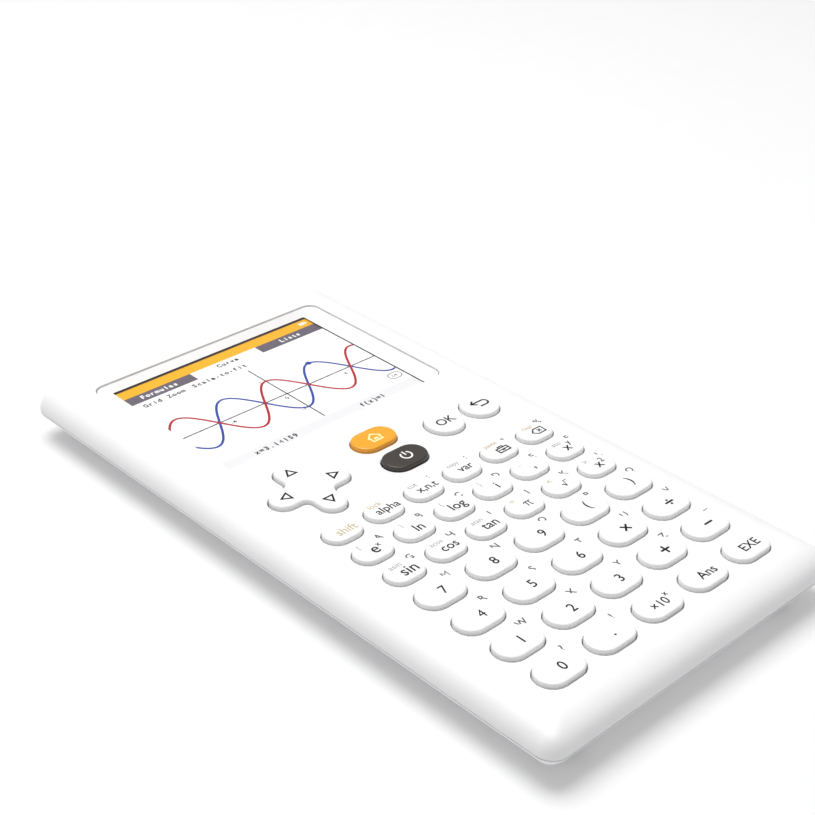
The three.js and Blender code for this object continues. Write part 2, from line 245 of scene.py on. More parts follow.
def inside(points, polygon):
    """Which of the points lie inside the polygon."""
    p, q = np.array(points), np.array(polygon)
    x, y = p[:, 0:1], p[:, 1:2]
    ax, ay = q[:, 0], q[:, 1]
    bx, by = np.roll(ax, -1), np.roll(ay, -1)
    crosses = (ay > y) != (by > y)
    slope = (bx - ax) / np.where(by == ay, 1, by - ay)
    return (crosses & (x < ax + (y - ay) * slope)).sum(1) % 2 == 1


ANY_TRIANGLE, SAME_POINT = 0, 1e-6  # what fill asks of Blender's triangulation


def fill(outer, holes):
    """Points and triangles that fill the outer outline and leave the holes open."""
    points, edges = [], []
    for outline in [outer, *holes]:
        start, count = len(points), len(outline)
        points += outline
        edges += [(start + i, start + (i + 1) % count) for i in range(count)]
    corners = [Vector(p) for p in points]
    out_points, _, triangles, _, _, _ = delaunay_2d_cdt(corners, edges, [], ANY_TRIANGLE, SAME_POINT)
    flat = [tuple(p) for p in out_points]
    middles = [tuple(np.mean([flat[i] for i in t], axis=0)) for t in triangles]
    keep = inside(middles, outer)
    for hole in holes:
        keep &= ~inside(middles, hole)
    return flat, [list(t) for t, k in zip(triangles, keep) if k]


SHARPEST = 0.35  # limits how far a ribbon's corner may stick out


def ribbon(line, width, closed=False):
    """A strip of constant width along a line: its points and faces."""
    line = [Vector(p) for p in line]
    count = len(line)
    left, right = [], []
    for i, p in enumerate(line):
        before = line[i - 1] if i or closed else None
        after = line[(i + 1) % count] if i < count - 1 or closed else None
        into = (p - before).normalized() if before is not None else (after - p).normalized()
        out = (after - p).normalized() if after is not None else into
        normal = Vector((-into.y - out.y, into.x + out.x))
        normal.normalize()
        reach = width / 2 / max(SHARPEST, normal.dot(Vector((-into.y, into.x))))
        left.append(tuple(p + normal * reach))
        right.append(tuple(p - normal * reach))
    points = left + right
    faces = []
    for i in range(count if closed else count - 1):
        j = (i + 1) % count
        faces.append([count + i, count + j, j, i])
    return points, faces


# ---- lettering

LEGEND_WEIGHT, FACE_WEIGHT, SCREEN_WEIGHT = 0.008, 0.02, 0.04  # how much each kind of letter is thickened
SHARP = ("4", "M")  # letters whose narrow corners a thicker outline would fold over
CURVE_STEPS = 3
LETTER_FILL = 0.9  # the most of its cell that a letter on the screen may fill
_words = {}


def word(text, weight):
    """The flat mesh of a word one unit high in the font's own measure, from its origin."""
    if (text, weight) not in _words:
        curve = bpy.data.curves.new("word", "FONT")
        curve.body = text
        curve.resolution_u = CURVE_STEPS
        curve.offset = 0 if text in SHARP else weight
        obj = bpy.data.objects.new("word", curve)
        bpy.context.scene.collection.objects.link(obj)
        graph = bpy.context.evaluated_depsgraph_get()
        mesh = bpy.data.meshes.new_from_object(obj.evaluated_get(graph))
        bm = bmesh.new()
        bm.from_mesh(mesh)
        bmesh.ops.remove_doubles(bm, verts=bm.verts, dist=1e-5)
        bm.verts.index_update()
        points = [(v.co.x, v.co.y) for v in bm.verts]
        faces = [[v.index for v in f.verts] for f in bm.faces]
        bm.free()
        bpy.data.objects.remove(obj)
        bpy.data.curves.remove(curve)
        bpy.data.meshes.remove(mesh)
        _words[text, weight] = (points, faces)
    return _words[text, weight]


def lettering(text, x, y, size, width=None, weight=LEGEND_WEIGHT):
    """A word round x, y, at a size or scaled to a width."""
    points, faces = word(text, weight)
    p = np.array(points)
    low, high = p.min(0), p.max(0)
    scale = size if width is None else width / (high[0] - low[0])
    placed = (p - (low + high) / 2) * scale + [x, y]
    return [tuple(q) for q in placed], faces


def typed(text, x, y, size, pitch):
    """A line of screen type: every letter in a cell of the same width. x is the first cell's left edge."""
    parts = []
    for i, letter in enumerate(text):
        if letter == " ":
            continue
        points, faces = word(letter, SCREEN_WEIGHT)
        p = np.array(points)
        low, high = p.min(0), p.max(0)
        fit = min(1.0, pitch * LETTER_FILL / ((high[0] - low[0]) * size))
        middle = [(low[0] + high[0]) / 2, 0]
        placed = (p - middle) * [size * fit, size] + [x + (i + 0.5) * pitch, y]
        parts.append(([tuple(q) for q in placed], faces))
    return parts


# ---- materials

def linear(*rgb):
    """A display colour of 0 to 255 in linear light."""
    shares = [c / 255 for c in rgb]
    return tuple(v / 12.92 if v <= 0.04045 else ((v + 0.055) / 1.055) ** 2.4 for v in shares) + (1,)


def new_material(name):
    material = bpy.data.materials.new(name)
    material.use_nodes = True
    nodes = material.node_tree.nodes
    nodes.clear()
    return material, nodes, material.node_tree.links


def add_node(nodes, kind, **values):
    """A shader node with these inputs set. An underscore stands for a space in an input's name."""
    node = nodes.new("ShaderNode" + kind)
    for name, value in values.items():
        node.inputs[name.replace("_", " ")].default_value = value
    return node


def noise(nodes, links, coordinates, scale, detail, roughness=0.5):
    n = add_node(nodes, "TexNoise", Scale=scale, Detail=detail, Roughness=roughness)
    links.new(coordinates, n.inputs["Vector"])
    return n.outputs["Fac"]


def spread(nodes, links, value, low, high, from_low=0.35, from_high=0.65):
    n = add_node(nodes, "MapRange", From_Min=from_low, From_Max=from_high, To_Min=low, To_Max=high)
    links.new(value, n.inputs["Value"])
    return n.outputs["Result"]


def colour_mix(nodes, kind="MIX"):
    n = nodes.new("ShaderNodeMix")
    n.data_type = "RGBA"
    n.blend_type = kind
    return n


def shade(colour, by):
    return tuple(min(1.0, c * by) for c in colour[:3]) + (1,)


CLOUD_SCALE, GLOSS_SCALE, SPECK_SHARE = 90, 240, 0.45  # of mottling, gloss and specks, per metre
GLOSS_SPREAD = 0.05


def plastic(name, colour, rough, grain, relief, mottle, specular=0.5, metallic=0.0, glow=0.0, coat=0.0):
    """Moulded or painted surface: faint mottling, uneven gloss and a fine grain, all procedural.
    grain is a scale per metre, relief the grain's depth in millimetres."""
    material, nodes, links = new_material(name)
    out = nodes.new("ShaderNodeOutputMaterial")
    surface = add_node(nodes, "BsdfPrincipled", Metallic=metallic, Coat_Weight=coat)
    surface.inputs["Specular IOR Level"].default_value = specular
    links.new(surface.outputs[0], out.inputs["Surface"])
    where = nodes.new("ShaderNodeTexCoord").outputs["Object"]
    cloud = spread(nodes, links, noise(nodes, links, where, CLOUD_SCALE, 4), 0, 1)
    speck = spread(nodes, links, noise(nodes, links, where, grain * SPECK_SHARE, 3), 0, 1)
    fine = noise(nodes, links, where, grain, 4, 0.6)
    patches = noise(nodes, links, where, GLOSS_SCALE, 5)
    gloss = spread(nodes, links, patches, rough - GLOSS_SPREAD, rough + GLOSS_SPREAD)
    base = colour_mix(nodes)
    base.inputs["A"].default_value = shade(colour, 1 - mottle)
    base.inputs["B"].default_value = shade(colour, 1 + mottle)
    links.new(cloud, base.inputs["Factor"])
    blend = colour_mix(nodes, "MULTIPLY")
    blend.inputs["B"].default_value = (1 - mottle, 1 - mottle, 1 - mottle, 1)
    links.new(speck, blend.inputs["Factor"])
    links.new(base.outputs["Result"], blend.inputs["A"])
    links.new(blend.outputs["Result"], surface.inputs["Base Color"])
    links.new(gloss, surface.inputs["Roughness"])
    bump = add_node(nodes, "Bump", Strength=1.0, Distance=relief * MM)
    links.new(fine, bump.inputs["Height"])
    links.new(bump.outputs["Normal"], surface.inputs["Normal"])
    if glow:
        links.new(blend.outputs["Result"], surface.inputs["Emission Color"])
        surface.inputs["Emission Strength"].default_value = glow
    return material


GRID_GRAIN, GRID_MOTTLE = 1800, 0.006


def gridded(name, colour, pitch, line, line_colour, rough=0.35, glow=0.0, relief=0.0):
    """A surface with fine rows and columns, such as a display's dots. pitch and line are in millimetres."""
    material = plastic(name, colour, rough, GRID_GRAIN, relief, GRID_MOTTLE, glow=glow)
    nodes, links = material.node_tree.nodes, material.node_tree.links
    surface = next(n for n in nodes if n.type == "BSDF_PRINCIPLED")
    source = surface.inputs["Base Color"].links[0].from_socket
    where = nodes.new("ShaderNodeTexCoord").outputs["Object"]
    bricks = add_node(nodes, "TexBrick", Scale=1 / (pitch * MM), Brick_Width=1.0, Row_Height=1.0,
                      Mortar_Size=line / pitch, Color1=(1, 1, 1, 1), Color2=(1, 1, 1, 1), Mortar=line_colour)
    bricks.offset = 0.0
    links.new(where, bricks.inputs["Vector"])
    cells = colour_mix(nodes, "MULTIPLY")
    cells.inputs["Factor"].default_value = 1.0
    links.new(source, cells.inputs["A"])
    links.new(bricks.outputs["Color"], cells.inputs["B"])
    links.new(cells.outputs["Result"], surface.inputs["Base Color"])
    if glow:
        links.new(cells.outputs["Result"], surface.inputs["Emission Color"])
    return material


CLEAR = 0.985  # of the light passes
WIPE_SCALE, WIPE_ROUGHNESS = 160, (0.03, 0.12)
GRAZING_POWER, GRAZING_GLOSS, LEAST_GLOSS = 5, 0.5, 0.015


def clear_window(name):
    """Hard clear plastic: it lets light straight through and reflects a little, with faint wipe marks."""
    material, nodes, links = new_material(name)
    out = nodes.new("ShaderNodeOutputMaterial")
    through = add_node(nodes, "BsdfTransparent", Color=(CLEAR, CLEAR, CLEAR, 1))
    gloss = nodes.new("ShaderNodeBsdfAnisotropic")
    where = nodes.new("ShaderNodeTexCoord").outputs["Object"]
    marks = spread(nodes, links, noise(nodes, links, where, WIPE_SCALE, 5), *WIPE_ROUGHNESS)
    links.new(marks, gloss.inputs["Roughness"])
    facing = add_node(nodes, "LayerWeight", Blend=0.5)
    steep = nodes.new("ShaderNodeMath")
    steep.operation = "POWER"
    steep.inputs[1].default_value = GRAZING_POWER
    share = nodes.new("ShaderNodeMath")
    share.operation = "MULTIPLY_ADD"
    share.inputs[1].default_value = GRAZING_GLOSS
    share.inputs[2].default_value = LEAST_GLOSS
    links.new(facing.outputs["Facing"], steep.inputs[0])
    links.new(steep.outputs[0], share.inputs[0])
    mix = nodes.new("ShaderNodeMixShader")
    links.new(share.outputs[0], mix.inputs["Fac"])
    links.new(through.outputs[0], mix.inputs[1])
    links.new(gloss.outputs[0], mix.inputs[2])
    links.new(mix.outputs[0], out.inputs["Surface"])
    return material


casing_white = plastic("casing_white", linear(237, 237, 238), 0.42, 2400, 0.010, 0.010)
key_white = plastic("key_white", linear(240, 239, 239), 0.30, 3600, 0.004, 0.008)
key_amber = plastic("key_amber", linear(240, 165, 38), 0.32, 3600, 0.004, 0.02)
key_charcoal = plastic("key_charcoal", linear(58, 52, 49), 0.36, 3200, 0.006, 0.05)
ink_black = plastic("ink_black", linear(14, 14, 16), 0.5, 5200, 0.002, 0.10, specular=0.25)
ink_grey = plastic("ink_grey", linear(92, 92, 95), 0.45, 5200, 0.002, 0.06)
ink_tan = plastic("ink_tan", linear(196, 180, 142), 0.45, 5200, 0.002, 0.05)
ink_soft = plastic("ink_soft", linear(168, 168, 170), 0.45, 5200, 0.002, 0.05)
ink_white = plastic("ink_white", linear(250, 250, 248), 0.40, 5200, 0.002, 0.01)
ink_cream = plastic("ink_cream", linear(255, 236, 170), 0.40, 5200, 0.002, 0.02)
window_clear = clear_window("window_clear")
window_print = plastic("window_print", linear(253, 253, 254), 0.5, 3000, 0.002, 0.006)
black_matrix = plastic("black_matrix", linear(98, 90, 86), 0.4, 3000, 0.002, 0.06)
foam_black = plastic("foam_black", linear(34, 34, 35), 0.9, 5000, 0.08, 0.25, specular=0.2)
ribbon_amber = gridded("ribbon_amber", linear(196, 128, 52), 0.5, 0.12, (0.62, 0.52, 0.4, 1), 0.4, 0, 0.004)
board_green = gridded("board_green", linear(24, 92, 58), 1.27, 0.2, (0.6, 0.72, 0.6, 1), 0.45, 0, 0.006)
rubber = plastic("rubber", linear(216, 217, 220), 0.7, 1500, 0.01, 0.03, specular=0.35)
pouch_foil = plastic("pouch_foil", linear(188, 191, 196), 0.38, 700, 0.03, 0.05, metallic=0.8)
bright_steel = plastic("bright_steel", linear(190, 191, 193), 0.28, 4200, 0.003, 0.04, metallic=1.0)
contact_gold = plastic("contact_gold", linear(226, 182, 92), 0.25, 4200, 0.002, 0.04, metallic=1.0)
socket_black = plastic("socket_black", linear(30, 30, 31), 0.5, 3600, 0.004, 0.10)
light_milk = plastic("light_milk", linear(226, 232, 232), 0.22, 3600, 0.003, 0.02, coat=0.3)


# ---- casing

def key_place(node):
    """Middle, half length and radius of a key's cap as the CAD has it, without its flange."""
    low, high = box(node)
    x, y = (low[0] + high[0]) / 2, (low[1] + high[1]) / 2
    width = high[0] - low[0] - 2 * FLANGE_WIDTH
    height = high[1] - low[1] - 2 * FLANGE_WIDTH
    return x, y, (width - height) / 2, height / 2


PAD_X, PAD_Y = centre("arrow_pad")
PAD_ARM, PAD_REACH, PAD_FILLET, PAD_GAP = 3.1, 10.15, 1.9, 0.35


def cross(offset, steps=8):
    """The arrow pad's outline: a plus sign with round ends and rounded inner corners."""
    points = []
    inner = PAD_ARM + PAD_FILLET
    for arm in range(4):
        turn = 90 * arm
        c, s = math.cos(math.radians(turn)), math.sin(math.radians(turn))
        end = (PAD_X + (PAD_REACH - PAD_ARM) * c, PAD_Y + (PAD_REACH - PAD_ARM) * s)
        hollow = (PAD_X + inner * (c - s), PAD_Y + inner * (s + c))
        points += arc(*end, PAD_ARM + offset, turn - 90, turn + 90, 2 * steps)
        points += arc(*hollow, PAD_FILLET - offset, turn - 90, turn - 180, steps)
    return points


KEYS = [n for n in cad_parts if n.startswith("key_") and n != "key_membrane"]
WINDOW = {"y": 46.3, "half_x": 33, "half_y": 23.9, "corner": 2.8, "floor": 10.8}
SIGHT = {"half_x": 30, "half_y": 22.8, "corner": 0.4}  # the opening behind the window
LIP = 0.14  # rounding of an opening's edge in the face
OPENING_STEPS, KEY_STEPS = 10, 12  # round the end of an opening, and of a key


def quarter(steps):
    return [math.pi / 2 * i / steps for i in range(steps + 1)]


def front_shell():
    shape = Shape()
    ceiling = FACE_Z - FACE_WALL
    base = FACE_Z - SHOULDER_DROP
    across, drop = SHOULDER_ACROSS - WALL, SHOULDER_DROP - FACE_WALL
    inner = [(WALL + across * (1 - math.cos(a)), base + drop * math.sin(a)) for a in quarter(8)]
    outer = [(SHOULDER_ACROSS * (1 - math.cos(a)), base + SHOULDER_DROP * math.sin(a)) for a in quarter(16)]
    levels = inner[::-1] + [(WALL, SEAM_Z), (0.12, SEAM_Z), (0.03, SEAM_Z + 0.03), (0, SEAM_Z + 0.12)] + outer
    levels += [(SHOULDER_ACROSS + FLAT_OVERLAP, FACE_Z)]
    shape.loft([casing_ring(inset, z) for inset, z in levels], start=False, end=False)

    face_holes, ceiling_holes = [], []

    def opening(outline_at, floor):
        """A hole in the face with a softly rounded lip, down to its floor."""
        lip = [(LIP * (1 - math.sin(a)), FACE_Z - LIP * (1 - math.cos(a))) for a in quarter(3)]
        shape.loft([at_height(outline_at(grow), z) for grow, z in lip + [(0, floor)]], start=False, end=False)
        face_holes.append(outline_at(LIP))

    for node in KEYS:
        x, y, half, radius = key_place(node)
        opening(lambda grow: stadium(half, radius + GAP + grow, x, y, OPENING_STEPS), ceiling)
        ceiling_holes.append(stadium(half, radius + GAP, x, y, OPENING_STEPS))
    opening(lambda grow: cross(PAD_GAP + grow), ceiling)
    ceiling_holes.append(cross(PAD_GAP))

    def recess(grow):
        w = WINDOW
        return rectangle(w["half_x"] + grow, w["half_y"] + grow, w["corner"] + grow, 0, w["y"])

    opening(recess, WINDOW["floor"])
    sight = rectangle(SIGHT["half_x"], SIGHT["half_y"], SIGHT["corner"], 0, WINDOW["y"], 2)
    shape.plate(*fill(recess(0), [sight]), WINDOW["floor"])
    shape.loft([at_height(sight, WINDOW["floor"]), at_height(sight, ceiling)], start=False, end=False)
    ceiling_holes.append(sight)
    shape.plate(*fill(casing_plan(SHOULDER_ACROSS + FLAT_OVERLAP), face_holes), FACE_Z)
    shape.plate(*fill(casing_plan(SHOULDER_ACROSS), ceiling_holes), ceiling, down=True)
    mesh = shape.mesh("front_shell_outer")
    bosses, pilots = Shape(), Shape()
    for name in SCREWS:
        bosses.loft(round_rings(*centre(name), POST_SIDES, BOSS))
        pilots.loft(round_rings(*centre(name), PILOT_SIDES, PILOT))
    mesh = boolean(mesh, "UNION", bosses.mesh("bosses"))
    mesh = boolean(mesh, "DIFFERENCE", pilots.mesh("pilots"))
    return boolean(mesh, "DIFFERENCE", port_cutters())


USB_LOW, USB_HIGH = box("usb_port")
USB_Z = (USB_LOW[2] + USB_HIGH[2]) / 2
USB_RADIUS = (USB_HIGH[2] - USB_LOW[2]) / 2
USB_HALF = (USB_HIGH[0] - USB_LOW[0]) / 2 - USB_RADIUS
LIGHT_LOW, LIGHT_HIGH = box("status_light_pipe")
LIGHT_X, LIGHT_Z = (LIGHT_LOW[0] + LIGHT_HIGH[0]) / 2, (LIGHT_LOW[2] + LIGHT_HIGH[2]) / 2
LIGHT_RADIUS = (LIGHT_HIGH[0] - LIGHT_LOW[0]) / 2


def port_cutters():
    """What the socket and the light take out of both shells."""
    cutters = Shape()
    beyond = HALF_Y + 2
    port = stadium(USB_HALF, USB_RADIUS + PORT_CLEARANCE, 0, USB_Z, 10)
    cutters.loft([sideways(port, y) for y in (beyond, USB_LOW[1] - 1)])
    pipe = stadium(0, LIGHT_RADIUS + LIGHT_CLEARANCE, LIGHT_X, LIGHT_Z, 11)
    cutters.loft([sideways(pipe, y) for y in (beyond, LIGHT_HOLE_END)])
    return cutters.mesh("port_cutters")


BACK_RADIUS = (BACK_INSET ** 2 + RIM_LOW ** 2) / (2 * RIM_LOW)


def back_levels(wall, last, steps):
    """The back's arc from the flat underside up to an angle, as inset and height."""
    reach = BACK_RADIUS - wall
    angles = [last * i / steps for i in range(steps + 1)]
    return [(BACK_INSET - reach * math.sin(a), BACK_RADIUS - reach * math.cos(a)) for a in angles]


def rear_shell():
    steepest = math.asin(BACK_INSET / BACK_RADIUS)
    inner_stop = math.asin((BACK_INSET - TONGUE["inner"]) / (BACK_RADIUS - BACK_WALL))
    outer = [(BACK_INSET + FLAT_OVERLAP, 0)] + back_levels(0, steepest, 18)[:-1]
    outer += [(0.09, RIM_LOW - 0.08), (0.015, RIM_LOW + 0.04), (0, RIM_LOW + 0.12)]
    outer += [(0.03, RIM_TOP - 0.03), (0.12, RIM_TOP)]
    inner = back_levels(BACK_WALL, inner_stop, 8) + [(TONGUE["inner"], TONGUE["top"])]
    inner += [(TONGUE["outer"], TONGUE["top"]), (TONGUE["outer"], RIM_TOP)]
    shape = Shape()
    shape.loft([casing_ring(inset, z) for inset, z in outer + inner[::-1]])
    mesh = shape.mesh("rear_shell_outer")
    whole = Shape()
    whole.loft([casing_ring(inset, z) for inset, z in outer])
    posts, bores = Shape(), Shape()
    for name in SCREWS:
        posts.loft(round_rings(*centre(name), POST_SIDES, POST))
        bores.loft(round_rings(*centre(name), POST_SIDES, COUNTERBORE))
    bores.loft(round_rings(*centre("reset_switch"), POST_SIDES, RESET_HOLE))
    trimmed = boolean(posts.mesh("posts"), "INTERSECT", whole.mesh("whole"))
    mesh = boolean(mesh, "UNION", trimmed)
    mesh = boolean(mesh, "DIFFERENCE", bores.mesh("bores"))
    return boolean(mesh, "DIFFERENCE", port_cutters())


piece("casing_front", front_shell(), [casing_white], "casing", SHELL_EDGE, ["front_shell"])
piece("casing_rear", rear_shell(), [casing_white], "casing", SHELL_EDGE, ["rear_shell"])


# ---- keys

CROWN = 0.09  # how far a key's top falls away from its middle line
EDGE = 0.42  # rounding of a key's top edge
EDGE_DEPTH = 0.9  # its depth, as a share of its width
DRAFT = 0.04  # how far a cap tapers in on its way up
CAP_LOW = 11.4  # the taper starts here
FLANGE_BEVEL = 0.08
FOOT_RADIUS, FOOT_BEVEL = 1.5, (0.2, 0.15)
CROWN_SHARES = (0.25, 0.45, 0.65, 0.85, 0.97)  # rings over the top, as shares of the way in
TOP = KEY_TOP - 0.03


def crown_height(x, y, half, radius):
    """A function for the height of a key's top: it falls away gently from its middle line."""
    def height(px, py):
        across = math.hypot(max(abs(px - x) - half, 0), py - y)
        t = min(1, max(0, 1 - across / radius))
        return TOP - CROWN * (1 - t) ** 2
    return height


def key_cap(node):
    """A key from its round foot to its crowned top, with the height of that top and the key's middle."""
    x, y, half, radius = key_place(node)
    foot = box(node)[0][2]
    height = crown_height(x, y, half, radius)
    top_z = height(x, y + radius - EDGE)
    edge_z = top_z - EDGE * EDGE_DEPTH
    flange, bevel = -FLANGE_WIDTH, FLANGE_BEVEL
    profile = [(flange + bevel, FLANGE_LOW), (flange, FLANGE_LOW + bevel), (flange, FLANGE_HIGH)]
    profile += [(0, FLANGE_HIGH), (0, CAP_LOW), (DRAFT, edge_z)]
    for a in quarter(6)[1:]:
        profile.append((DRAFT + (EDGE - DRAFT) * (1 - math.cos(a)), edge_z + (top_z - edge_z) * math.sin(a)))
    for share in CROWN_SHARES:
        inset = EDGE + (radius - EDGE) * share
        profile.append((inset, height(x, y + radius - inset)))
    stem = [(FOOT_RADIUS - FOOT_BEVEL[0], foot), (FOOT_RADIUS, foot + FOOT_BEVEL[1])]
    stem.append((FOOT_RADIUS, FLANGE_LOW))
    rings = round_rings(x, y, KEY_STEPS, stem)
    rings += [at_height(stadium(half, radius - inset, x, y, KEY_STEPS), z) for inset, z in profile]
    shape = Shape()
    shape.loft(rings)
    return shape, height, (x, y)


BLACK, GREY, TAN, SOFT = 1, 2, 3, 4
DICE = 0.6


def print_on(shape, height, parts, slot):
    for points, faces in parts:
        shape.emboss(*diced(points, faces), height, slot=slot)


def diced(points, faces):
    """The same flat mesh cut along a grid, so that it can follow a curved surface."""
    bm = bmesh.new()
    verts = [bm.verts.new((px, py, 0)) for px, py in points]
    for f in faces:
        if len(set(f)) > 2:
            bm.faces.new([verts[i] for i in f])
    for axis in (0, 1):
        values = [p[axis] for p in points]
        for i in range(math.ceil(min(values) / DICE), math.floor(max(values) / DICE) + 1):
            at = [0.0, 0.0, 0.0]
            at[axis] = i * DICE
            normal = [float(axis == 0), float(axis == 1), 0.0]
            geometry = bm.verts[:] + bm.edges[:] + bm.faces[:]
            bmesh.ops.bisect_plane(bm, geom=geometry, dist=1e-5, plane_co=at, plane_no=normal)
    bm.verts.index_update()
    cut_points = [(v.co.x, v.co.y) for v in bm.verts]
    cut_faces = [[v.index for v in f.verts] for f in bm.faces]
    bm.free()
    return cut_points, cut_faces


def words_at(x, y, *parts):
    """Lettering placed from a key's middle: (text, dx, dy, width)."""
    return [lettering(t, x + dx, y + dy, 1, width=w) for t, dx, dy, w in parts]


def triangle(x, y, radius, turn):
    return arc(x, y, radius, turn, turn + 240, 2)


# Icons about one unit in size: lines to draw, each with its width and whether it closes.
HOUSE = [([(-1.0, -0.05), (0, 0.85), (1.0, -0.05)], 0.24, False),
         ([(-0.74, 0.15), (-0.74, -0.8), (0.74, -0.8), (0.74, 0.15)], 0.24, False),
         ([(-0.2, -0.8), (-0.2, -0.25), (0.2, -0.25), (0.2, -0.8)], 0.24, False)]
POWER = [(arc(0, 0, 0.85, 125, 415, 28), 0.24, False), ([(0, 0.05), (0, 1.05)], 0.24, False)]
ERASE = [([(-1.1, 0), (-0.45, 0.62), (0.95, 0.62), (0.95, -0.62), (-0.45, -0.62)], 0.2, True),
         ([(-0.1, 0.27), (0.45, -0.27)], 0.19, False), ([(-0.1, -0.27), (0.45, 0.27)], 0.19, False)]
CASE = [([(-1, 0.35), (-1, -0.62), (1, -0.62), (1, 0.35)], 0.22, True),
        ([(-0.42, 0.35), (-0.42, 0.68), (0.42, 0.68), (0.42, 0.35)], 0.2, False),
        ([(-1, -0.1), (1, -0.1)], 0.17, False),
        ([(-0.2, -0.1), (-0.2, -0.28), (0.2, -0.28), (0.2, -0.1)], 0.17, False)]
GREEK_PI = [([(-1.05, 0.5), (-0.85, 0.72), (-0.55, 0.8), (1.05, 0.8)], 0.26, False),
            ([(-0.38, 0.8), (-0.4, 0.1), (-0.55, -0.75)], 0.26, False),
            ([(0.42, 0.8), (0.4, -0.3), (0.5, -0.68), (0.85, -0.72)], 0.26, False)]
ROOT_SIGN = [([(-1.15, -0.12), (-0.8, 0.08)], 0.2, False), ([(-0.82, 0.08), (-0.3, -1.0)], 0.32, False),
             ([(-0.34, -1.0), (0.2, 1.0), (1.2, 1.0)], 0.2, False)]
BEND = [(-0.85, 0.42), (0.55, 0.42)] + arc(0.55, 0, 0.42, 80, -80, 10) + [(0.5, -0.42), (-0.35, -0.42)]
TURN_BACK = [(BEND, 0.2, False), ([(-0.4, 0.86), (-0.92, 0.42), (-0.4, -0.02)], 0.2, False)]
ICONS = {"home": (HOUSE, 0.1, -0.1, 1.75), "on_off": (POWER, 0.3, -0.1, 1.5),
         "back": (TURN_BACK, 0.2, -0.1, 2.2), "pi": (GREEK_PI, 0.6, -0.5, 0.95),
         "square_root": (ROOT_SIGN, 0.6, -0.5, 0.95),
         "backspace": (ERASE, 0.6, -0.5, 1.6), "toolbox": (CASE, 0.6, -0.5, 1.55)}


def icon(x, y, lines, dx, dy, size):
    """An icon's lines, drawn at a size and placed from a key's middle."""
    return [ribbon([(x + dx + size * u, y + dy + size * v) for u, v in line], width * size, closed)
            for line, width, closed in lines]


MAIN = (0.6, -0.5)  # where most legends sit, from a key's middle
LEGENDS = {
    "shift": [("shift", *MAIN, 5.0)], "alpha": [("alpha", 0.6, -0.7, 6.1)],
    "variable": [("x,n,t", *MAIN, 5.4)], "stored_value": [("var", *MAIN, 3.9)],
    "exponential": [("e", 0.2, -0.6, 1.7), ("x", 1.75, 0.45, 1.1)], "natural_log": [("ln", *MAIN, 2.1)],
    "log": [("log", *MAIN, 3.9)], "imaginary": [("i", *MAIN, 0.42)], "comma": [(",", 0.4, -1.4, 0.55)],
    "power_of": [("x", 0.1, -0.6, 1.9), ("y", 1.75, 0.55, 1.1)],
    "sine": [("sin", *MAIN, 3.9)], "cosine": [("cos", *MAIN, 4.2)], "tangent": [("tan", *MAIN, 4.0)],
    "square": [("x", 0.1, -0.6, 1.9), ("2", 1.75, 0.55, 1.0)],
    "open_bracket": [("(", 0.8, 0.2, 0.95)], "close_bracket": [(")", 0.6, 0.2, 0.95)],
    "multiply": [("×", 0.5, -0.2, 2.1)], "divide": [("÷", 0.5, -0.2, 2.4)],
    "plus": [("+", 0.5, -0.2, 2.4)], "minus": [("−", 0.5, -0.2, 2.4)],
    "decimal_point": [(".", 0.4, -0.9, 0.5)],
    "times_ten": [("×10", -0.1, -0.5, 4.4), ("x", 2.9, 0.75, 1.1)],
    "answer": [("Ans", 0.5, -0.3, 4.9)], "enter": [("EXE", 0.5, -0.3, 5.0)],
    "ok": [("OK", 0.2, -0.1, 5.0)],
}
DIGIT_DX, DIGIT_DY, DIGIT_SIZE = 0.5, -0.2, 3.3
SECOND = {
    "alpha": ("lock", -0.9, 1.9, 3.4), "variable": ("cut", -1.6, 1.9, 2.4),
    "stored_value": ("copy", -0.8, 1.9, 3.2),
    "toolbox": ("paste", -0.5, 2.1, 3.6), "backspace": ("clear", -0.6, 1.9, 3.2),
    "exponential": ("[", -2.0, 1.9, 0.4), "natural_log": ("]", -2.0, 1.9, 0.4),
    "log": ("{", -2.0, 1.9, 0.55), "imaginary": ("}", -2.0, 1.9, 0.55), "comma": ("_", -1.9, 1.2, 1.0),
    "power_of": ("sto", -0.9, 1.95, 2.4), "sine": ("asin", -0.9, 1.95, 3.0),
    "cosine": ("acos", -0.9, 1.95, 3.2),
    "tangent": ("atan", -0.9, 1.95, 3.0), "pi": ("=", -1.6, 2.1, 1.1), "square_root": ("<", -1.6, 2.1, 1.1),
    "square": (">", -1.6, 2.1, 1.1),
}
TAN_SECOND = {"alpha", "backspace", "pi", "square_root", "toolbox"}

for node in KEYS:
    name = node[len("key_"):]
    shape, height, (x, y) = key_cap(node)
    cap = {"home": key_amber, "on_off": key_charcoal}.get(name, key_white)
    print_on(shape, height, words_at(x, y, *LEGENDS.get(name, [])), TAN if name == "shift" else BLACK)
    if name in SECOND:
        print_on(shape, height, words_at(x, y, SECOND[name]), TAN if name in TAN_SECOND else SOFT)
    if name.isdigit():
        print_on(shape, height, [lettering(name, x + DIGIT_DX, y + DIGIT_DY, DIGIT_SIZE)], BLACK)
    if name in ICONS:
        print_on(shape, height, icon(x, y, *ICONS[name]), BLACK)
    ink = {"home": ink_cream, "on_off": ink_white}.get(name, ink_black)
    piece(f"{node}_cap", shape, [cap, ink, ink_grey, ink_tan, ink_soft], node, SHARP_EDGE, [node])


PAD_FLANGE_HIGH, PAD_EDGE, PAD_ROUND, PAD_FLAT = 9.55, 0.5, 0.56, 0.9
MARK_REACH, MARK_RADIUS, MARK_LINE = 6.3, 1.35, 0.42  # the four printed triangles


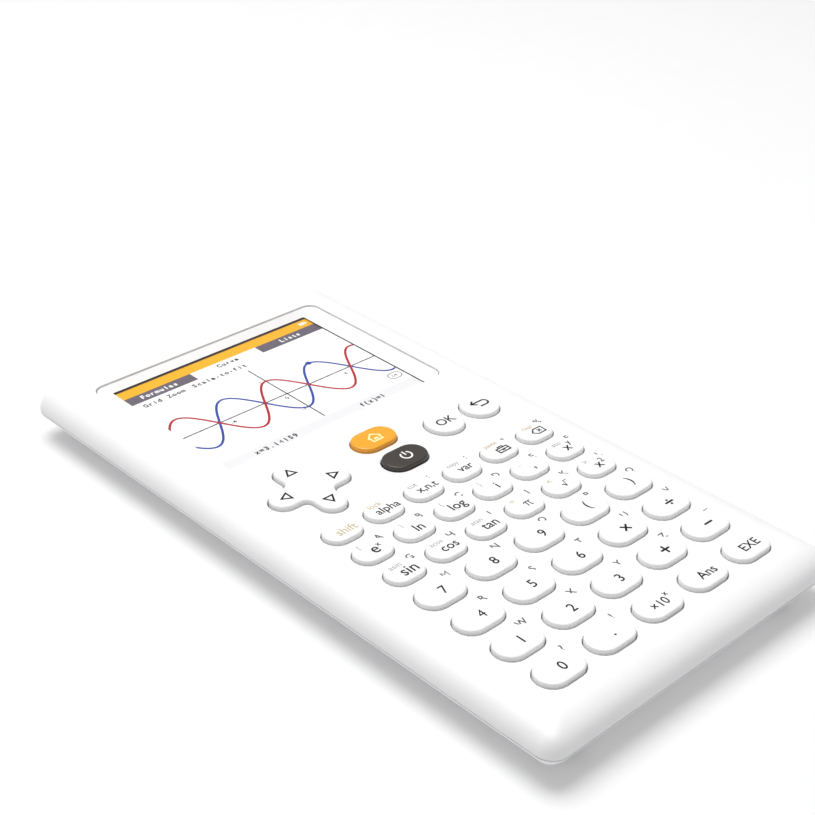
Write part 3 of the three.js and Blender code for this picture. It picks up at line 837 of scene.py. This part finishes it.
def pad_cap():
    low, high = box("arrow_pad")
    top, bevel = high[2] - 0.03, FLANGE_BEVEL
    profile = [(FLANGE_WIDTH - bevel, low[2]), (FLANGE_WIDTH, low[2] + bevel)]
    profile += [(FLANGE_WIDTH, PAD_FLANGE_HIGH), (0, PAD_FLANGE_HIGH), (0, CAP_LOW), (-DRAFT, top - PAD_EDGE)]
    for a in quarter(6)[1:]:
        profile.append((-DRAFT - PAD_ROUND * (1 - math.cos(a)), top - PAD_EDGE * (1 - math.sin(a))))
    profile.append((-PAD_FLAT, top))
    shape = Shape()
    shape.loft([at_height(cross(grow), z) for grow, z in profile], end=False)
    shape.plate(*fill(cross(-PAD_FLAT), []), top)
    marks = []
    for turn in (0, 90, 180, 270):
        a = math.radians(turn)
        x, y = PAD_X + MARK_REACH * math.cos(a), PAD_Y + MARK_REACH * math.sin(a)
        marks.append(ribbon(triangle(x, y, MARK_RADIUS, turn), MARK_LINE, True))
    print_on(shape, lambda px, py: top, marks, BLACK)
    return shape


piece("arrow_pad_cap", pad_cap(), [key_white, ink_black], "arrow_pad", SHARP_EDGE, ["arrow_pad"])


# ---- lettering on the casing

FACE_LETTERS = {
    "variable": ":", "stored_value": ";", "toolbox": "\"", "backspace": "%",
    "exponential": "A", "natural_log": "B", "log": "C", "imaginary": "D", "comma": "E", "power_of": "F",
    "sine": "G", "cosine": "H", "tangent": "I", "pi": "J", "square_root": "K", "square": "L",
    "7": "M", "8": "N", "9": "O", "open_bracket": "P", "close_bracket": "Q",
    "4": "R", "5": "S", "6": "T", "multiply": "U", "divide": "V",
    "1": "W", "2": "X", "3": "Y", "plus": "Z", "minus": "_", "0": "?", "decimal_point": "!",
}
NUMBER_ROWS = set("0123456789") | {"open_bracket", "close_bracket", "multiply", "divide", "plus", "minus",
                                  "decimal_point"}


FACE_LETTER, BY_NUMBER, BY_FUNCTION = 2.4, (5.1, 3.95), (4.5, 3.4)  # size, and places from a key's middle
FACE_PROUD, FACE_SUNK = 0.015, 0.04


def face_letters():
    shape = Shape()
    for name, letter in FACE_LETTERS.items():
        x, y = centre(f"key_{name}")
        dx, dy = BY_NUMBER if name in NUMBER_ROWS else BY_FUNCTION
        points, faces = lettering(letter, x + dx, y + dy, FACE_LETTER, weight=FACE_WEIGHT)
        shape.emboss(points, faces, lambda px, py: FACE_Z, FACE_PROUD, FACE_SUNK)
    return shape


piece("face_letters", face_letters(), [ink_grey], "casing")


# ---- window and display

LENS_LOW, LENS_HIGH = box("screen_lens")
GLASS_Z = box("display_panel")[1][2]
ACTIVE = {"left": -28.8, "right": 28.8, "low": 24.45, "high": 67.65}
PRINT = {"half_x": 28.7, "low": 24.1, "high": 68.05, "corner": 0.35}  # the hole in the white border
LENS_Y = (LENS_LOW[1] + LENS_HIGH[1]) / 2
LENS_HALF_X = (LENS_HIGH[0] - LENS_LOW[0]) / 2
LENS_HALF_Y = (LENS_HIGH[1] - LENS_LOW[1]) / 2
LENS_CORNER = 2.7
PRINT_RIM = 0.25  # the print stops this far below the window's top, at its edge


def window_ring(inset, z):
    return at_height(rectangle(LENS_HALF_X - inset, LENS_HALF_Y - inset, LENS_CORNER - inset, 0, LENS_Y), z)


def print_edge(z):
    middle, half = (PRINT["low"] + PRINT["high"]) / 2, (PRINT["high"] - PRINT["low"]) / 2
    return at_height(rectangle(PRINT["half_x"], half, PRINT["corner"], 0, middle), z)


def lens():
    """A clear window, flat on top, whose underside tapers to its edge all round."""
    low, high = LENS_LOW[2] + 0.01, LENS_HIGH[2]
    shape = Shape()
    shape.loft([print_edge(low), window_ring(0.02, high - PRINT_RIM), window_ring(0, high - 0.1),
                window_ring(0.03, high - 0.03), window_ring(0.1, high)])
    return shape


def window_border():
    """The white backing round the display, which fills the window's taper from below."""
    low, high = LENS_LOW[2] - 0.025, LENS_HIGH[2] - PRINT_RIM - 0.01
    rings = [print_edge(low), window_ring(0, low), window_ring(0, high), print_edge(LENS_LOW[2])]
    shape = Shape()
    shape.loft(rings + rings[:1], start=False, end=False)
    return shape


piece("window_pane", lens(), [window_clear], "casing", SHELL_EDGE, ["screen_lens"])
piece("window_border", window_border(), [window_print], "casing", SHELL_EDGE)

SCREEN = ["screen_white", "screen_amber", "screen_slate", "screen_black", "screen_red", "screen_blue",
          "screen_grey", "screen_paper"]
PAPER, AMBER, SLATE, TYPE, RED, BLUE, BANNER, BRIGHT = range(8)
SCREEN_COLOURS = [linear(252, 252, 253), linear(246, 176, 0), linear(100, 93, 107), linear(16, 16, 20),
                  linear(176, 0, 22), linear(32, 62, 155), linear(230, 230, 232), linear(255, 255, 255)]
DOT, DOT_GAP, SCREEN_GLOW = 0.18, 0.011, 0.12
screen_materials = [gridded(n, c, DOT, DOT_GAP, (0.86, 0.86, 0.86, 1), glow=SCREEN_GLOW)
                    for n, c in zip(SCREEN, SCREEN_COLOURS)]


BAR_LOW, TAB_LOW, TAB_ENDS = ACTIVE["high"] - 3.35, ACTIVE["high"] - 6.7, (-9.6, 9.95)
RESULT_BAR = (25.4, 28.7)
TYPE_SIZE = 1.95
TYPED = [("Formulas", -24.8, 62.05, 1.3, BRIGHT), ("Curve", -2.75, 62.05, 1.26, TYPE),
         ("Lists", 16.5, 62.05, 1.26, BRIGHT), ("Grid", -26.6, 58.35, 1.26, TYPE),
         ("Zoom", -20.0, 58.35, 1.26, TYPE), ("Scale-to-fit", -12.9, 58.35, 1.33, TYPE),
         ("x=3.14159", -20.4, 26.25, 1.36, TYPE), ("f(x)=1", 10.5, 26.25, 1.26, TYPE)]
AXIS_X, AXIS_Y, AXIS_ENDS, AXIS_LINE = 1.55, 42.1, (28.9, 56.5), 0.34
UNIT, SWING, WAVE_LINE, WAVE_POINTS = 4.155, 7.7, 0.6, 220  # of the two waves
TICKS, TICK, TICK_LINE = range(-7, 7), 0.25, 0.16
AXIS_NUMBERS = [("-4", -15.5, 40.3), ("4", 18.0, 40.3), ("0", 0.3, 40.65), ("1", 0.1, 50.0),
                ("-1", -0.2, 34.3)]
AXIS_NUMBER = 1.75
TRACE_DOT = 0.75
OVAL_X, OVAL_Y, OVAL_HALF, OVAL_RADIUS, OVAL_WORD = 26.1, 31.95, 0.55, 1.3, 1.7
CHARGE_CASE = [(25.6, 65.6), (27.5, 65.6), (27.5, 66.6), (25.6, 66.6)]  # the small charge sign
CHARGE, CHARGE_TIP = (25.8, 27.1, 65.8, 66.4), (27.55, 27.8, 65.9, 66.3)
LAYER, LAYER_SUNK = 0.006, 0.004  # each layer of the picture stands this far above the last


def block(x0, x1, y0, y1):
    return [(x0, y0), (x1, y0), (x1, y1), (x0, y1)], [[0, 1, 2, 3]]


def display_picture():
    """What the display shows: a title bar, three tabs, a menu line, two waves on axes and a result line."""
    shape = Shape()
    left, right, low, high = (ACTIVE[k] for k in ("left", "right", "low", "high"))
    level = GLASS_Z + 0.03
    outline = rectangle((right - left) / 2, (high - low) / 2, 0.05, (left + right) / 2, (low + high) / 2, 1)
    shape.loft([at_height(outline, GLASS_Z + 0.005), at_height(outline, level)], PAPER)

    def draw(parts, slot, layer):
        for points, faces in parts:
            shape.emboss(points, faces, lambda x, y: level, LAYER * layer, LAYER_SUNK, slot)

    inset = 0.01
    tab_high = BAR_LOW - inset
    draw([block(left + inset, right - inset, BAR_LOW, high - inset)], AMBER, 1)
    draw([block(left + inset, TAB_ENDS[0], TAB_LOW, tab_high),
          block(TAB_ENDS[1], right - inset, TAB_LOW, tab_high)], SLATE, 1)
    draw([block(left + inset, right - inset, *RESULT_BAR)], BANNER, 1)
    for text, x, y, pitch, colour in TYPED:
        draw(typed(text, x, y, TYPE_SIZE, pitch), colour, 2)
    draw([ribbon([(left + 0.6, AXIS_Y), (right - 0.05, AXIS_Y)], AXIS_LINE),
          ribbon([(AXIS_X, y) for y in AXIS_ENDS], AXIS_LINE)], TYPE, 2)
    for n in TICKS:
        x = AXIS_X + n * UNIT
        draw([ribbon([(x, AXIS_Y - TICK), (x, AXIS_Y + TICK)], TICK_LINE)], TYPE, 2)
    for text, x, y in AXIS_NUMBERS:
        draw([lettering(text, x, y, AXIS_NUMBER)], TYPE, 3)

    def wave(sign):
        xs = np.linspace(left + 0.3, right - 0.1, WAVE_POINTS)
        return [(x, AXIS_Y + sign * SWING * math.cos((x - AXIS_X) / UNIT)) for x in xs]

    draw([ribbon(wave(-1), WAVE_LINE)], BLUE, 4)
    draw([ribbon(wave(1), WAVE_LINE)], RED, 5)
    disc = stadium(0, TRACE_DOT, AXIS_X + math.pi * UNIT, AXIS_Y + SWING, 9)
    draw([(disc, [list(range(len(disc)))])], BLUE, 6)
    oval = stadium(OVAL_HALF, OVAL_RADIUS, OVAL_X, OVAL_Y, 8)
    draw([ribbon(oval, 0.2, True), lettering("OK", OVAL_X, OVAL_Y, 1, width=OVAL_WORD)], TYPE, 3)
    draw([ribbon(CHARGE_CASE, 0.16, True), block(*CHARGE), block(*CHARGE_TIP)], BRIGHT, 2)
    return shape


piece("display_picture", display_picture(), screen_materials, "casing", SHELL_EDGE)


# ---- ports, screws and the inside

CAN_WALL, CAN_FLOOR = 0.3, 1  # the socket's sheet metal and its closed end
CONTACT_TONGUE = [(0.2, 77.5), (0.06, 77.44), (0, 77.3)]  # inset and Y, from its tip
TONGUE_HALF_X, TONGUE_HALF_Z = 3.3, 0.35
CONTACTS, CONTACT_PITCH, CONTACT_Y, CONTACT_PROUD = 6, 0.95, 75.2, 0.03


def usb_socket():
    """A rounded metal can, open towards the display end, with a contact tongue in it."""
    wall, back, mouth = CAN_WALL, USB_LOW[1], USB_HIGH[1]
    floor = back + CAN_FLOOR
    shape = Shape()
    can = [(wall, floor), (wall, mouth - 0.15), (wall * 0.7, mouth - 0.03), (wall / 2, mouth)]
    can += [(wall * 0.3, mouth - 0.03), (0, mouth - 0.15), (0, back)]
    shape.loft([sideways(stadium(USB_HALF, USB_RADIUS - inset, 0, USB_Z, 10), y) for inset, y in can])
    tongue = []
    for inset, y in CONTACT_TONGUE + [(0, floor - 0.2)]:
        section = rectangle(TONGUE_HALF_X - inset, TONGUE_HALF_Z - inset, 0.12, 0, USB_Z, 3)
        tongue.append(sideways(section, y))
    shape.loft(tongue, 1)
    for i in range(CONTACTS):
        pad = rectangle(0.2, 1.9, 0.05, (i - (CONTACTS - 1) / 2) * CONTACT_PITCH, CONTACT_Y, 2)
        for z in (USB_Z + 0.34, USB_Z - 0.37):
            shape.loft([at_height(pad, z), at_height(pad, z + CONTACT_PROUD)], 2)
    return shape


LIGHT_DOME = 0.35


def light_pipe():
    shape = Shape()
    """A round rod with a domed end."""
    end, across = LIGHT_HIGH[1], LIGHT_RADIUS
    profile = [(across * math.cos(a), end - LIGHT_DOME * (1 - math.sin(a))) for a in quarter(5)]
    rings = profile[-2::-1] + [(LIGHT_RADIUS, LIGHT_LOW[1])]
    shape.loft([sideways(stadium(0, radius, LIGHT_X, LIGHT_Z, 11), y) for radius, y in rings])
    return shape


HEAD = [(1.35, 0), (1.58, 0.08), (1.68, 0.24), (1.7, 0.4), (1.7, 1), (1.6, 1.1), (0.9, 1.1)]
THREAD_START, CORE_RADIUS = 1.2, 0.68
THREAD_PITCH, THREAD_DEPTH, THREAD_LEVELS, THREAD_FADE, POINT = 0.8, 0.22, 40, 6, 0.35
DRIVE_RADIUS, LOBE, DRIVE_DEPTH = 0.58, 0.09, 0.7
SCREW_SIDES = 36


def screw(x, y, low, high):
    """A pan-head screw, head down, with a six-lobed socket and a helical thread."""
    turns = [2 * math.pi * i / SCREW_SIDES for i in range(SCREW_SIDES)]

    def ring(radius_at, z):
        return [(x + radius_at(a) * math.cos(a), y + radius_at(a) * math.sin(a), z) for a in turns]

    def lobes(grow):
        return lambda a: DRIVE_RADIUS + grow + LOBE * math.cos(6 * a)

    def thread(z, reach):
        """A ridge that climbs once round in a pitch; reach fades it out towards the point."""
        def radius(a):
            ridge = abs(2 * ((z / THREAD_PITCH - a / (2 * math.pi)) % 1) - 1)
            return CORE_RADIUS + reach * THREAD_DEPTH * ridge - POINT * (1 - reach)
        return radius

    rings = [ring(lobes(0), low + DRIVE_DEPTH), ring(lobes(0), low + 0.06), ring(lobes(0.06), low)]
    rings += [ring(lambda a: radius, low + z) for radius, z in HEAD]
    start = low + THREAD_START
    for i in range(THREAD_LEVELS + 1):
        z = start + (high - start) * i / THREAD_LEVELS
        rings.append(ring(thread(z, min(1.0, (THREAD_LEVELS - i) / THREAD_FADE)), z))
    shape = Shape()
    shape.loft(rings)
    return shape


RESET_BASE = 0.4  # the plunger stands this far out of its housing
RESET_EDGE, RESET_CORNER = 0.08, 0.3
PLUNGER = [(0.55, 0), (0.67, 0.05), (0.7, 0.15), (0.7, 0.5)]


def reset_button():
    """A small square switch with a round plunger on its lower side."""
    low, high = box("reset_switch")
    x, y = centre("reset_switch")
    side, base, edge = (high[0] - low[0]) / 2, low[2] + RESET_BASE, RESET_EDGE
    housing = [(edge, base), (0, base + edge), (0, high[2] - edge), (edge, high[2])]
    shape = Shape()
    shape.loft([at_height(rectangle(side - i, side - i, RESET_CORNER, x, y, 3), z) for i, z in housing])
    shape.loft(round_rings(x, y, 11, [(radius, low[2] + z) for radius, z in PLUNGER]), 1)
    return shape


def fitting(name, shape, materials, node):
    piece(name, shape, materials, "casing", SHARP_EDGE, [node])


fitting("usb_socket", usb_socket(), [bright_steel, socket_black, contact_gold], "usb_port")
fitting("status_light", light_pipe(), [light_milk], "status_light_pipe")
fitting("reset_button", reset_button(), [bright_steel, socket_black], "reset_switch")
for name in SCREWS:
    low, high = box(name)
    fitting(f"{name}_fastener", screw(*centre(name), low[2], high[2]), [bright_steel], name)

INSIDE = {"display_panel": black_matrix, "screen_gasket": foam_black, "display_flex": ribbon_amber,
          "main_board": board_green, "key_membrane": rubber, "battery": pouch_foil, "arrow_pad_pivot": rubber}
for node, material in INSIDE.items():
    for material_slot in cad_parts[node].material_slots:
        material_slot.material = material


# ---- camera, light and floor

LENS, SENSOR, CLIP = 72.10, 36, (0.005, 20)
AZIMUTH, ELEVATION, ROLL = -44.355, 30.623, 1.409  # in degrees
CAMERA_PLACE = (-205.87, -209.85, 199.98)


def camera():
    data = bpy.data.cameras.new("camera")
    data.sensor_width = SENSOR
    data.lens = LENS
    data.clip_start, data.clip_end = CLIP
    obj = bpy.data.objects.new("camera", data)
    azimuth, elevation, roll = (math.radians(v) for v in (AZIMUTH, ELEVATION, ROLL))
    level = math.cos(elevation)
    back = Vector((math.sin(azimuth) * level, -math.cos(azimuth) * level, math.sin(elevation)))
    right = (-back).cross(Vector((0, 0, 1))).normalized()
    up = right.cross(-back)
    image_right = right * math.cos(roll) + up * math.sin(roll)
    image_up = -right * math.sin(roll) + up * math.cos(roll)
    turn = Matrix((image_right, image_up, back)).transposed().to_4x4()
    turn.translation = Vector(CAMERA_PLACE) * MM
    obj.matrix_world = turn
    bpy.context.scene.collection.objects.link(obj)
    bpy.context.scene.camera = obj


LIGHT_PLACE, LIGHT_SIZE, LIGHT_POWER = Vector((-0.05, 0.2, 0.97)), 0.8, 9.2  # metres and watts


def overhead_light():
    """A soft disc of light, aimed at the middle of the floor."""
    data = bpy.data.lights.new("overhead", "AREA")
    data.shape = "DISK"
    data.size = LIGHT_SIZE
    data.energy = LIGHT_POWER
    obj = bpy.data.objects.new("overhead", data)
    obj.location = LIGHT_PLACE
    obj.rotation_mode = "QUATERNION"
    obj.rotation_quaternion = (-LIGHT_PLACE).to_track_quat("-Z", "Y")
    bpy.context.scene.collection.objects.link(obj)


HORIZON, ZENITH = 0.2, 0.6  # how bright the room is, low down and overhead
FLOOR_HALF, FLOOR_CORNER, FLOOR_THICK = 2500, 400, 4
FLOOR_COLOUR, FLOOR_GLOW = (0.68, 0.68, 0.684, 1), 0.26


def studio():
    """Soft even light from above and a pale floor."""
    world = bpy.data.worlds.new("studio")
    bpy.context.scene.world = world
    world.use_nodes = True
    nodes, links = world.node_tree.nodes, world.node_tree.links
    split = nodes.new("ShaderNodeSeparateXYZ")
    links.new(nodes.new("ShaderNodeTexCoord").outputs["Generated"], split.inputs[0])
    sky = spread(nodes, links, split.outputs["Z"], HORIZON, ZENITH, 0, 1)
    links.new(sky, nodes["Background"].inputs["Strength"])
    nodes["Background"].inputs["Color"].default_value = (1, 1, 1, 1)
    overhead_light()
    shape = Shape()
    outline = rectangle(FLOOR_HALF, FLOOR_HALF, FLOOR_CORNER)
    shape.loft([at_height(outline, -FLOOR_THICK), at_height(outline, 0)])
    mesh = shape.mesh("floor")
    paper = plastic("floor_paper", FLOOR_COLOUR, 0.9, 600, 0.0, 0.004, specular=0.1, glow=FLOOR_GLOW)
    mesh.materials.append(paper)
    floor = bpy.data.objects.new("floor", mesh)
    bpy.context.scene.collection.objects.link(floor)
    bpy.context.scene.view_settings.view_transform = "Standard"


camera()
studio()
